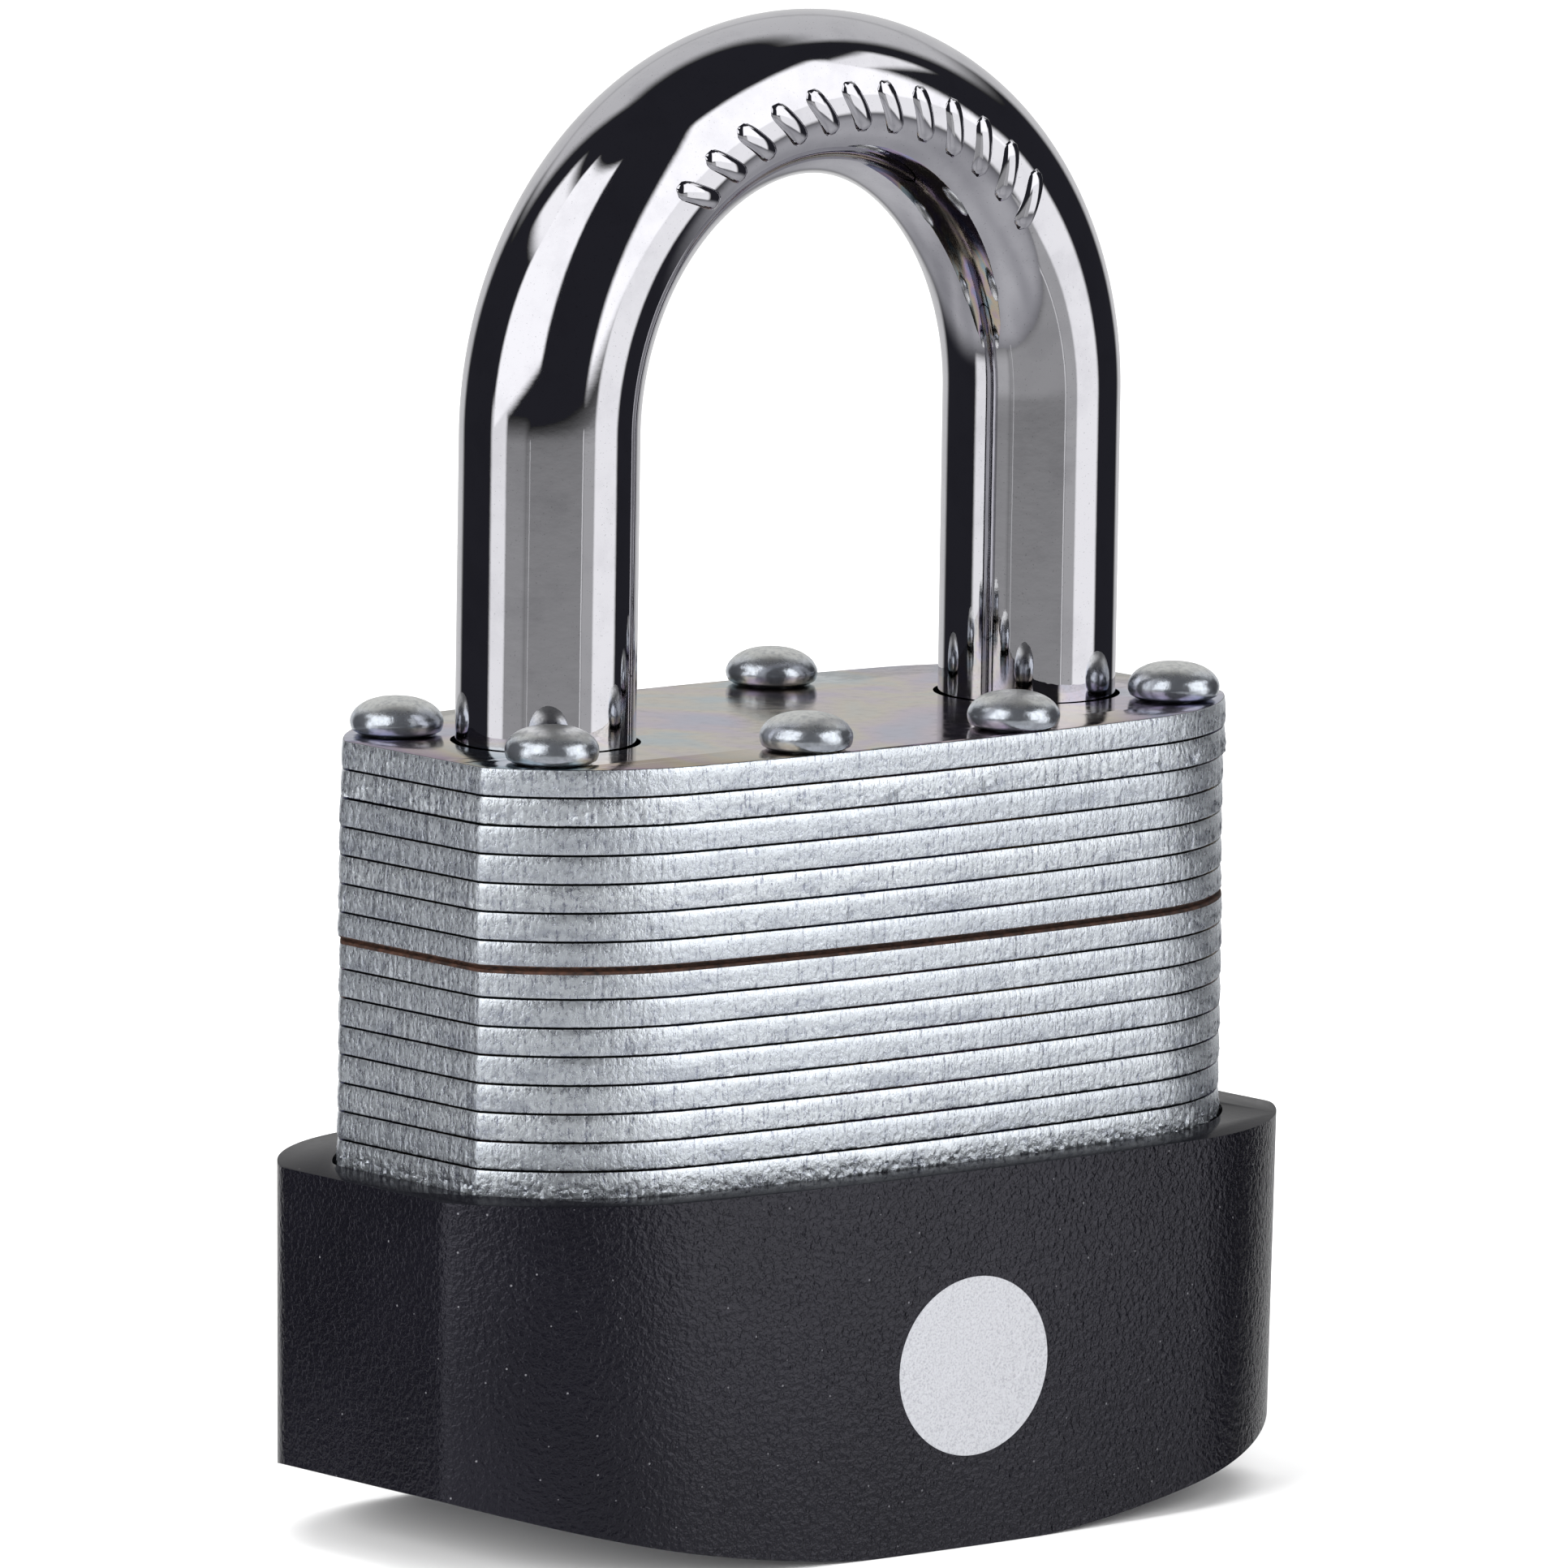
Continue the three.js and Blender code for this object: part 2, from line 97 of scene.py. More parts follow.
# How much the crown is pressed flat, off the bar's half-depth and onto its half-width
CROWN = dict(thinned=0.43, widened=0.22)
BAR_STEPS = dict(round=96, arch=144, leg=24)
BAR_END_CORNER = 0.8
HEEL_BOTTOM = 18.3
TOE_BOTTOM = 27.65
# The crown's ridges: where the row starts and ends round the arch, and each one's lean and its
# ends round the bar, all in degrees
HATCH = dict(turns=(50, 138), count=12, slant=6, low=77, high=113, half_width=0.56, height=0.19,
             steps=14, sides=12)
# A locking ball where it bears on the bar, and how far in and down it then moves against it
BALL = dict(radius=3.5, x=9.67, z=34.05, run=1.4, drop=5.6)

# Bumper
BUMPER = dict(half_width=28.4, corner_y=6.8, bend_x=17, bend_y=14.1, half_depth=14.8)
BUMPER_TOP = 20.0
BUMPER_FLOOR = 6.0
BUMPER_FIT = 0.25
FOOT_HALF_WIDTH = 6.0
END_RISE = 4.3
KEY_WINDOW = dict(half_width=8.5, half_depth=6.0, corner=3.0)
DISC = dict(x=1.0, z=9.62, half_width=5.1, half_height=4.75, rings=14, round=120)
# How thick the ink is, and how far the disc reaches into the wall behind it
INK = 0.012
SUNK = 0.05
# How much narrower the bumper is at its foot than at its top, as a share
DRAFT = 0.009
BUMPER_POINTS = 420
BUMPER_EDGE = 0.28
# How far a cutting tool reaches past what it cuts
PAST = 1

# Camera: angles in degrees, and the point that it aims at, from the top plate's middle
CAMERA = dict(azimuth=40.05, elevation=8.335, roll=-0.88, distance=955.4, lens=416.8)
AIM = dict(right=-0.24, up=-3.6)


# ---- Outlines ---------------------------------------------------------------------------

def arc(cx, cy, radius, start, end, steps):
    """Points of an arc, with angles measured from +Y towards +X."""
    angles = np.linspace(start, end, steps)
    return np.stack([cx + radius * np.sin(angles), cy + radius * np.cos(angles)], 1)


def sharp_outline(half_width, corner_y, bend_x, bend_y, half_depth):
    """Two bulged sides, each a broad arc that turns into tighter ones, and two flat ends."""
    rise = half_depth - bend_y
    broad = (bend_x ** 2 + rise ** 2) / (2 * rise)
    bend = math.asin(bend_x / broad)
    chord = math.hypot(half_width - bend_x, bend_y - corner_y)
    chord_angle = math.atan2(bend_y - corner_y, half_width - bend_x)
    tight = chord / (2 * math.sin(chord_angle - bend))
    tight_x = bend_x - tight * math.sin(bend)
    tight_y = bend_y - tight * math.cos(bend)
    broad_steps, tight_steps = 200, 150
    quarter = np.concatenate([
        arc(0, half_depth - broad, broad, 0, bend, broad_steps),
        arc(tight_x, tight_y, tight, bend, 2 * chord_angle - bend, tight_steps)[1:],
    ])
    mirror = quarter[::-1][:-1]
    back = np.concatenate([quarter, mirror * [1, -1]])
    return np.concatenate([back, quarter[1:] * [-1, -1], mirror * [-1, 1]])


def outline(shape, count):
    """Evenly spaced points round a shape, from the middle of its back, with outward normals."""
    points = sharp_outline(**shape)
    closed = np.concatenate([points, points[:1]])
    reach = np.concatenate([[0], np.cumsum(np.linalg.norm(np.diff(closed, axis=0), axis=1))])
    places = np.linspace(0, reach[-1], count, endpoint=False)
    even = np.stack([np.interp(places, reach, closed[:, axis]) for axis in (0, 1)], 1)
    softenings = 2
    for _ in range(softenings):
        even = (np.roll(even, 1, 0) + 2 * even + np.roll(even, -1, 0)) / 4
    along = np.roll(even, -1, 0) - np.roll(even, 1, 0)
    normals = np.stack([-along[:, 1], along[:, 0]], 1)
    normals /= np.linalg.norm(normals, axis=1, keepdims=True)
    if (normals * even).sum() < 0:
        normals = -normals
    return even, normals


def circle(x, y, radius, count):
    angles = np.linspace(0, 2 * math.pi, count, endpoint=False)
    return np.stack([x + radius * np.cos(angles), y + radius * np.sin(angles)], 1)


def between(upper, lower, low, high, count):
    """A closed loop round the space between two heights over a stretch of X."""
    turns = np.linspace(0, math.pi, count)
    xs = (low + high) / 2 - (high - low) / 2 * np.cos(turns)
    top = [(x, upper(x)) for x in xs]
    bottom = [(x, lower(x)) for x in xs[::-1][1:-1]]
    return np.array(top + bottom)


def bulge(x, centre, radius):
    """Half the height of a circle at x, or 0 beside it."""
    return math.sqrt(max(radius ** 2 - (x - centre) ** 2, 0))


# ---- Meshes -----------------------------------------------------------------------------

def new_object(name, data):
    made = bpy.data.objects.new(name, data)
    bpy.context.scene.collection.objects.link(made)
    return made


def mesh_piece(name, points, faces, sharp=35):
    """A smooth-shaded object from points in millimetres."""
    mesh = bpy.data.meshes.new(name)
    mesh.from_pydata([tuple(float(v) * MM for v in p) for p in points], [], faces)
    finish_mesh(mesh, sharp)
    return new_object(name, mesh)


def finish_mesh(mesh, sharp):
    """Turns the faces outwards and shades them smooth up to an angle in degrees."""
    turned = bmesh.new()
    turned.from_mesh(mesh)
    bmesh.ops.recalc_face_normals(turned, faces=turned.faces)
    turned.to_mesh(mesh)
    turned.free()
    shade(mesh, sharp)
    mesh.update()


def shade(mesh, sharp):
    mesh.shade_smooth()
    mesh.set_sharp_from_angle(angle=math.radians(sharp))


def ring_faces(start_a, start_b, count):
    """Quads between two rings of count points."""
    return [(start_a + i, start_a + (i + 1) % count, start_b + (i + 1) % count, start_b + i)
            for i in range(count)]


def prism(name, loop, bottom, top):
    """An upright closed prism over a loop."""
    count = len(loop)
    points = [(x, y, z) for z in (bottom, top) for x, y in loop]
    faces = ring_faces(0, count, count)
    faces += [tuple(range(count)), tuple(range(2 * count - 1, count - 1, -1))]
    return mesh_piece(name, points, faces)


def apply_modifiers(piece, sharp=35):
    """Keeps the shape that the modifiers give and drops the modifiers."""
    graph = bpy.context.evaluated_depsgraph_get()
    made = bpy.data.meshes.new_from_object(piece.evaluated_get(graph))
    piece.modifiers.clear()
    piece.data = made
    shade(made, sharp)


def carve(piece, tools, operation="DIFFERENCE"):
    """Cuts tools out of a piece, or keeps what they share, and throws the tools away."""
    for tool in tools:
        modifier = piece.modifiers.new("carve", "BOOLEAN")
        modifier.operation = operation
        modifier.solver = "EXACT"
        modifier.object = tool
    apply_modifiers(piece)
    for tool in tools:
        bpy.data.objects.remove(tool)


def bevel(piece, width):
    """Rounds the edges where faces meet at more than 30 degrees."""
    modifier = piece.modifiers.new("bevel", "BEVEL")
    modifier.width = width * MM
    modifier.segments = 3
    modifier.limit_method = "ANGLE"
    modifier.angle_limit = math.radians(30)
    modifier.harden_normals = False
    apply_modifiers(piece, sharp=50)


def finished(piece, body, slot, *nodes):
    """Names what a piece rides on and hides the CAD nodes that it stands for. Its finish, slot, is not
    used.
    """
    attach(piece, body)
    if nodes:
        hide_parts(*nodes)
    return piece


# ---- Shader building --------------------------------------------------------------------

class Shader:
    """A node tree with short calls for the nodes that the materials share."""

    def __init__(self, tree):
        self.tree = tree
        tree.nodes.clear()

    def node(self, kind, inputs=None, **settings):
        made = self.tree.nodes.new(kind)
        for key, value in settings.items():
            setattr(made, key, value)
        for key, value in (inputs or {}).items():
            self.plug(made.inputs[key], value)
        return made

    def plug(self, socket, value):
        if isinstance(value, bpy.types.NodeSocket):
            self.tree.links.new(value, socket)
        else:
            socket.default_value = value

    def math(self, operation, first, second=0.0):
        return self.node("ShaderNodeMath", {0: first, 1: second}, operation=operation).outputs[0]

    def plus(self, first, second):
        return self.math("ADD", first, second)

    def minus(self, first, second):
        return self.math("SUBTRACT", first, second)

    def times(self, first, second):
        return self.math("MULTIPLY", first, second)

    def ramp(self, value, low, high, out_low=0.0, out_high=1.0):
        """Runs a value from low..high to out_low..out_high, eased, and holds it beyond."""
        made = self.node("ShaderNodeMapRange", {0: value, 1: low, 2: high, 3: out_low, 4: out_high})
        made.interpolation_type = "SMOOTHSTEP"
        return made.outputs[0]

    def place(self, scale=(1, 1, 1)):
        """Object coordinates in millimetres, scaled."""
        where = self.node("ShaderNodeTexCoord").outputs["Object"]
        size = tuple(value / MM for value in scale)
        made = self.node("ShaderNodeMapping", {"Vector": where, "Scale": size})
        return made.outputs[0]

    def noise(self, where, scale, detail=2.0, rough=0.5, distortion=0.0):
        made = self.node("ShaderNodeTexNoise", {
            "Vector": where, "Scale": scale, "Detail": detail,
            "Roughness": rough, "Distortion": distortion,
        })
        return made.outputs["Fac"]

    def mix(self, share, first, second):
        """Blends two colours, which a mix node has in its sockets 6 and 7."""
        made = self.node("ShaderNodeMix", data_type="RGBA")
        self.plug(made.inputs[0], share)
        self.plug(made.inputs[6], colour(first))
        self.plug(made.inputs[7], colour(second))
        return made.outputs[2]

    def bump(self, height, distance, strength=1.0, normal=None):
        made = self.node("ShaderNodeBump", {
            "Height": height, "Distance": distance * MM, "Strength": strength,
        })
        if normal is not None:
            self.plug(made.inputs["Normal"], normal)
        return made.outputs[0]

    def surface(self, **inputs):
        made = self.node("ShaderNodeBsdfPrincipled")
        for key, value in inputs.items():
            self.plug(made.inputs[key.replace("_", " ")], value)
        out = self.node("ShaderNodeOutputMaterial")
        self.tree.links.new(made.outputs[0], out.inputs[0])


def colour(value):
    """Adds full opacity to a colour of three numbers."""
    return (*value, 1.0) if isinstance(value, tuple) and len(value) == 3 else value


def new_material(name):
    material = bpy.data.materials.new(name)
    material.use_nodes = True
    return material, Shader(material.node_tree)


# ---- Materials --------------------------------------------------------------------------

# How far along the pattern the plates' own pieces of it are spread, in millimetres
PATTERN_SHIFT = 40.0


def cut_edge_material(name, stack_top, pitch):
    """The sheared and zinc-plated edge of a plate: upright tear marks with a sugary glint."""
    material, s = new_material(name)
    place = s.place()
    height = s.node("ShaderNodeSeparateXYZ", {0: place}).outputs[2]
    below = s.math("DIVIDE", s.minus(stack_top, height), pitch)
    number = s.math("FLOOR", below)
    own = s.node("ShaderNodeTexWhiteNoise", {"W": number}, noise_dimensions="1D").outputs[0]
    down = s.math("FRACT", below)

    sideways = s.node("ShaderNodeCombineXYZ", {0: s.times(own, PATTERN_SHIFT)}).outputs[0]
    shifted = s.node("ShaderNodeVectorMath", {0: place, 1: sideways}, operation="ADD").outputs[0]

    def stretched(upright):
        """The plate's own piece of the pattern: below 1 draws it out upright, above 1 flattens it."""
        return s.node("ShaderNodeMapping", {"Vector": shifted, "Scale": (1, 1, upright)}).outputs[0]

    grit = s.noise(stretched(0.75), scale=4.2, detail=4.0, rough=0.66)
    streaks = s.noise(stretched(0.08), scale=7.0, detail=2.0)
    patches = s.noise(stretched(3.0), scale=0.35, detail=4.0, rough=0.6)
    torn = s.ramp(s.plus(down, s.times(patches, 0.5)), 0.25, 0.60, 0.45, 1.0)
    grains = s.plus(s.times(grit, torn), s.times(streaks, 0.16))

    # The last colour here is the near-black of the painted shade in the gaps between the plates.
    bright, pitted, shaded = (0.90, 0.95, 1.0), (0.42, 0.45, 0.55), (0.28, 0.31, 0.40)
    scored, dull, gap_shade = (0.26, 0.28, 0.37), (0.66, 0.71, 0.79), (0.012, 0.012, 0.014)
    shade_share = s.times(s.ramp(patches, 0.46, 0.66), s.ramp(down, 0.30, 0.60, 0.15, 1.0))
    pits = s.times(s.ramp(grit, 0.30, 0.56, 0.55, 0.0), s.ramp(torn, 0.45, 1.0, 0.5, 1.0))
    tint = s.mix(pits, bright, pitted)
    tint = s.mix(s.times(shade_share, 0.42), tint, shaded)
    scores = s.times(s.ramp(streaks, 0.34, 0.44, 0.8, 0.0), s.ramp(grit, 0.42, 0.56, 1.0, 0.1))
    tint = s.mix(scores, tint, scored)
    tint = s.mix(s.ramp(own, 0.0, 1.0, 0.0, 0.30), tint, dull)
    # Painted shade: each plate's edge goes near black at its top and bottom, along the gaps between the
    # plates.
    gap_shade_mask = s.plus(s.ramp(down, 0.008, 0.022, 1.0, 0.0), s.ramp(down, 0.918, 0.938))
    tint = s.mix(s.times(gap_shade_mask, 0.92), tint, gap_shade)
    roughness = s.ramp(grit, 0.3, 0.7, 0.22, 0.40)
    normal = s.bump(grains, distance=0.085)
    s.surface(Base_Color=tint, Metallic=0.97, Roughness=roughness, Normal=normal)
    return material


def top_face_material(name):
    """Bright zinc with a faint film of passivation colours."""
    material, s = new_material(name)
    place = s.place()
    film = s.noise(place, scale=0.075, detail=3.0, distortion=0.8)
    bands = s.node("ShaderNodeValToRGB", {0: film})
    stops = bands.color_ramp.elements
    stops[0].position, stops[0].color = 0.30, (0.22, 0.26, 0.34, 1)
    stops[1].position, stops[1].color = 0.72, (0.29, 0.32, 0.37, 1)
    for position, tint in ((0.41, (0.24, 0.25, 0.39, 1)), (0.48, (0.35, 0.26, 0.35, 1)),
                           (0.55, (0.42, 0.35, 0.24, 1)), (0.63, (0.24, 0.33, 0.36, 1))):
        stops.new(position).color = tint
    haze = s.noise(place, scale=1.4, detail=5.0, rough=0.65)
    scuffs = s.noise(s.place((0.5, 6.0, 1)), scale=1.0, detail=3.0)
    tint = s.mix(s.ramp(haze, 0.45, 0.8, 0.0, 0.4), bands.outputs[0], (0.40, 0.41, 0.41))
    roughness = s.ramp(haze, 0.35, 0.8, 0.10, 0.24)
    normal = s.bump(s.noise(place, scale=0.25, detail=1.0), distance=0.02, strength=0.3)
    normal = s.bump(scuffs, distance=0.0015, strength=0.5, normal=normal)
    s.surface(Base_Color=tint, Metallic=1.0, Roughness=roughness, Normal=normal)
    return material


def rust_material(name):
    """Dark crumbly rust."""
    material, s = new_material(name)
    place = s.place()
    crumbs = s.noise(place, scale=2.5, detail=5.0, rough=0.7)
    tint = s.mix(s.ramp(crumbs, 0.3, 0.7), (0.009, 0.006, 0.005), (0.050, 0.022, 0.014))
    normal = s.bump(crumbs, distance=0.06, strength=0.8)
    s.surface(Base_Color=tint, Metallic=0.15, Roughness=0.75, Normal=normal)
    return material


def rivet_material(name, seat):
    """Shiny zinc with a dull, slightly pitted crown."""
    material, s = new_material(name)
    place = s.place()
    height = s.node("ShaderNodeSeparateXYZ", {0: place}).outputs[2]
    pits = s.noise(place, scale=3.2, detail=5.0, rough=0.65)
    wander = s.times(s.noise(place, scale=0.8), 0.7)
    crown = s.ramp(s.plus(s.minus(height, seat), wander), 1.45, 2.05)
    tint = s.mix(crown, (0.58, 0.62, 0.68), (0.76, 0.77, 0.75))
    tint = s.mix(s.ramp(pits, 0.40, 0.70, 0.0, 0.5), tint, (0.36, 0.38, 0.41))
    roughness = s.plus(s.times(crown, 0.18), s.ramp(pits, 0.3, 0.8, 0.15, 0.28))
    normal = s.bump(pits, distance=0.05, strength=0.35)
    s.surface(Base_Color=tint, Metallic=0.95, Roughness=roughness, Normal=normal)
    return material


def chrome_material(name):
    """Polished chrome plate over steel, with the slight waves of the bar beneath."""
    material, s = new_material(name)
    place = s.place()
    smudge = s.noise(place, scale=0.35, detail=5.0, rough=0.65)
    waves = s.noise(s.place((1, 1, 0.35)), scale=0.16, detail=1.0)
    specks = s.noise(place, scale=9.0, detail=1.0)
    roughness = s.ramp(smudge, 0.40, 0.75, 0.018, 0.065)
    tint = s.mix(s.ramp(smudge, 0.42, 0.72), (0.625, 0.62, 0.655), (0.56, 0.555, 0.59))
    tint = s.mix(s.ramp(specks, 0.69, 0.75, 0.0, 0.6), tint, (0.36, 0.36, 0.38))
    ripples = s.noise(s.place((1, 1, 1.6)), scale=0.9, detail=3.0)
    normal = s.bump(waves, distance=0.10, strength=0.30)
    normal = s.bump(ripples, distance=0.018, strength=0.10, normal=normal)
    s.surface(Base_Color=tint, Metallic=1.0, Roughness=roughness, Normal=normal)
    return material


def bumper_material(name, relief, rough, specular):
    """Black moulded plastic with a fine leathery grain and a little pale dust."""
    material, s = new_material(name)
    place = s.place()
    grain = moulded_grain(s, place)
    broad = s.noise(place, scale=0.07)
    dust = s.node("ShaderNodeTexVoronoi", {"Vector": place, "Scale": 0.9}).outputs[0]
    speck = s.ramp(dust, 0.035, 0.065, 1.0, 0.0)
    tint = s.mix(s.ramp(broad, 0.3, 0.7), (0.0023, 0.0022, 0.0036), (0.0038, 0.0036, 0.0056))
    tint = s.mix(s.times(speck, 0.30), tint, (0.30, 0.30, 0.32))
    roughness = s.ramp(grain, 0.5, 0.8, rough, 0.8 * rough)
    normal = s.bump(grain, distance=relief)
    s.surface(Base_Color=tint, Roughness=roughness, Normal=normal, Specular_IOR_Level=specular,
              Specular_Tint=(0.88, 0.87, 1.0, 1))
    return material


def moulded_grain(s, place):
    """Height of the spark-eroded texture: rounded wrinkles broken up by a finer one."""
    wrinkles = s.noise(place, scale=3.2, distortion=0.4)
    return s.plus(wrinkles, s.times(s.noise(place, scale=8.0), 0.30))


def print_material(name):
    """Pale grey pad-printing ink that takes on the grain beneath it."""
    material, s = new_material(name)
    place = s.place()
    fleck = s.noise(place, scale=8.0, detail=3.0, rough=0.7)
    tint = s.mix(s.ramp(fleck, 0.32, 0.56), (0.265, 0.27, 0.29), (0.375, 0.38, 0.405))
    normal = s.bump(moulded_grain(s, place), distance=0.06, strength=0.8)
    s.surface(Base_Color=tint, Roughness=0.5, Normal=normal)
    return material


def metal_material(name, dark, light, roughness, grain=(1, 1, 0.2)):
    """Plain machined metal with a drawn grain and small stains."""
    material, s = new_material(name)
    brushed = s.noise(s.place(grain), scale=3.0, detail=4.0, rough=0.6)
    stain = s.noise(s.place(), scale=0.5, detail=4.0)
    tint = s.mix(s.ramp(stain, 0.3, 0.7), dark, light)
    rough = s.ramp(brushed, 0.3, 0.7, roughness - 0.08, roughness + 0.10)
    normal = s.bump(brushed, distance=0.03, strength=0.35)
    s.surface(Base_Color=tint, Metallic=1.0, Roughness=rough, Normal=normal)
    return material


def set_material(piece, *materials):
    piece.data.materials.clear()
    for material in materials:
        piece.data.materials.append(material)


# ---- Laminated body ---------------------------------------------------------------------

def plate_holes(number):
    """Loops of the openings in one plate."""
    holes = [circle(x, y, RIVET_HOLE, HOLE_POINTS["rivet"]) for x, y in RIVET_PLACES]
    far = LEG_X + LEG_HOLE - SLIVER
    if number in BALL_PLATES:
        def upper(x):
            slot = CHAMBER["half_width"] if abs(x) < LEG_X else 0
            legs = max(bulge(x, -LEG_X, LEG_HOLE), bulge(x, LEG_X, LEG_HOLE))
            return max(slot, legs, bulge(x, 0, CHAMBER["bore"]))

        return [*holes, between(upper, lambda x: -upper(x), -far, far, HOLE_POINTS["chamber"])]
    holes.append(circle(-LEG_X, 0, LEG_HOLE, HOLE_POINTS["leg"]))
    if number <= TOE_PLATES:
        holes.append(circle(LEG_X, 0, LEG_HOLE, HOLE_POINTS["leg"]))
    if number > BALL_PLATES[-1]:
        def crest(x):
            inside = abs(x) < SHELL_HOLE["half_width"]
            return SHELL_HOLE["crest"] if inside else bulge(x, 0, SHELL_HOLE["radius"])

        def trough(x):
            return -bulge(x, 0, SHELL_HOLE["radius"])

        reach = SHELL_HOLE["radius"] - SLIVER
        holes.append(between(crest, trough, -reach, reach, HOLE_POINTS["shell"]))
    return holes


def edge_rows(number, thickness, random, count):
    """Rows down a plate's cut edge: how far down, and how far each point is set in.

    A crisp rim, a band that the shear rolled a little inwards, and a torn band below it."""
    streaks = random.normal(size=count)
    wide = np.convolve(np.tile(random.normal(size=count), 3), np.ones(WAVE) / WAVE, "same")
    slow = wide[count:-count]
    rows = []
    for down, inset, tear in EDGE_ROWS:
        points = random.normal(size=count)
        rough = TEAR["streaks"] * streaks + TEAR["points"] * points + TEAR["waves"] * slow
        rows.append((down * thickness, inset + tear * ROUGH_PLATES.get(number, 1) * rough))
    return rows


def flat_cap(points, loops):
    """Triangles that fill a loop of point numbers round the loops of its holes."""
    flat = [[Vector((points[i][0], points[i][1], 0)) for i in loop] for loop in loops]
    index = [i for loop in loops for i in loop]
    return [tuple(index[i] for i in triangle) for triangle in tessellate_polygon(flat)]


def plate(number, edge, face, rust):
    """One plate, with a torn cut edge and the openings that the works need."""
    node = f"plate_{number:02d}"
    low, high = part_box(node)
    top, bottom = high.z / MM, low.z / MM
    middle = (high.x + low.x) / 2 / MM
    random = np.random.default_rng(number)
    rim, normals = outline(BODY, OUTLINE_POINTS)
    count = len(rim)
    points, faces = [], []
    rows = edge_rows(number, top - bottom, random, count)
    for down, inset in rows:
        points += [(x, y, top - down) for x, y in rim - normals * inset[:, None]]
    for i in range(len(rows) - 1):
        faces += ring_faces(i * count, (i + 1) * count, count)
    edge_faces = len(faces)
    top_loops, bottom_loops = [range(count)], [range((len(rows) - 1) * count, len(rows) * count)]
    for hole in plate_holes(number):
        start, size = len(points), len(hole)
        points += [(x, y, z) for z in (top, bottom) for x, y in hole]
        faces += ring_faces(start, start + size, size)
        top_loops.append(range(start, start + size))
        bottom_loops.append(range(start + size, start + 2 * size))
    hole_faces = len(faces)
    faces += flat_cap(points, top_loops)
    top_faces = len(faces)
    faces += flat_cap(points, bottom_loops)
    piece = mesh_piece(f"{node}_sheet", [(x + middle, y, z) for x, y, z in points], faces)
    set_material(piece, edge, face, rust)
    for polygon in piece.data.polygons:
        place = polygon.index
        low_rim = edge_faces - RUSTED_ROWS * count <= place < edge_faces
        high_rim = place < (RUSTED_ROWS + 1) * count
        over_gap = number == WIDE_GAP_PLATE and (low_rim or place >= top_faces)
        under_gap = number == WIDE_GAP_PLATE + 1 and (high_rim or hole_faces <= place < top_faces)
        if over_gap or under_gap:
            polygon.material_index = RUST
        else:
            polygon.material_index = FACE if place >= edge_faces else EDGE
    return finished(piece, "case", "top_plate" if number == 1 else "plates", node)


def rust_film(rust):
    """Rust that has crept out of the one wide gap between the plates."""
    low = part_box(f"plate_{WIDE_GAP_PLATE + 1:02d}")[1].z / MM
    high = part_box(f"plate_{WIDE_GAP_PLATE:02d}")[0].z / MM
    random = np.random.default_rng(RUST_FILM["seed"])
    rim, normals = outline(BODY, OUTLINE_POINTS)
    outer = RUST_FILM["inset"] + RUST_FILM["uneven"] * random.random(OUTLINE_POINTS)
    inner = outer + RUST_FILM["depth"]
    points, faces = [], []
    for z, inset in ((low, outer), (high, outer), (high, inner), (low, inner)):
        points += [(x, y, z) for x, y in rim - normals * inset[:, None]]
    for i in range(4):
        faces += ring_faces(i * OUTLINE_POINTS, (i + 1) % 4 * OUTLINE_POINTS, OUTLINE_POINTS)
    piece = mesh_piece("rust_film", points, faces)
    set_material(piece, rust)
    return finished(piece, "case", "plates")


# ---- Rivets -----------------------------------------------------------------------------

def lathe(name, profile, segments, centre):
    """A turned piece from (radius, height) pairs that start and end on its axis."""
    points, faces = [], []
    inner = profile[1:-1]
    for radius, z in inner:
        points += [(x, y, z) for x, y in circle(*centre, radius, segments)]
    for i in range(len(inner) - 1):
        faces += ring_faces(i * segments, (i + 1) * segments, segments)
    for (_, z), ring in ((profile[0], 0), (profile[-1], (len(inner) - 1) * segments)):
        points.append((*centre, z))
        faces += [(ring + i, ring + (i + 1) % segments, len(points) - 1) for i in range(segments)]
    return mesh_piece(name, points, faces, sharp=50)


def head_curve(squash):
    """Points of a rivet's head, from its seat up: distance from its axis, and height."""
    radius, height, belly = RIVET["radius"], RIVET["height"], RIVET["belly"]
    points = [(radius - belly * UNDER["seat"], 0)]
    for i in range(DOME["steps"]):
        turn = -UNDER["turn"] + (math.pi / 2 + UNDER["turn"]) * i / DOME["steps"]
        if turn < 0:
            reach = radius - belly * UNDER["side"] * (1 - math.cos(turn))
            rise = belly + belly * math.sin(turn)
        else:
            reach = radius * math.cos(turn) ** DOME["across"]
            rise = belly + (height - belly) * math.sin(turn) ** (DOME["up"] * squash)
        points.append((reach, rise))
    return [*points, (0, height)]


def rivet(number, x, y, material):
    """A pan-shaped head that bellies out over its seat, on a shank through every plate."""
    node = f"rivet_{number}"
    low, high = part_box(node)
    seat = high.z / MM - RIVET["height"]
    random = np.random.default_rng(DOME["seed"] + number)
    squash = 1 + DOME["uneven"] * random.normal()
    profile = [(0, low.z / MM), (RIVET["shank"], low.z / MM), (RIVET["shank"], seat)]
    profile += [(reach, seat + rise) for reach, rise in head_curve(squash)]
    piece = lathe(f"{node}_turned", profile, RIVET["sides"], (x, y))
    set_material(piece, material)
    return finished(piece, "case", "rivets", node)


# ---- Shackle ----------------------------------------------------------------------------

FRONT = Vector((0, -1, 0))


def bar_station(turn):
    """Centre, outward direction and half-sizes of the bar where the arch has turned by turn."""
    pressed = math.sin(turn) ** 2
    deep = BAR_RADIUS - CROWN["thinned"] * pressed
    wide = BAR_RADIUS + CROWN["widened"] * pressed
    reach = LEG_X + BAR_RADIUS - deep
    out = Vector((-math.cos(turn), 0, math.sin(turn)))
    return Vector((0, 0, SPRING_LINE)) + out * reach, out, deep, wide


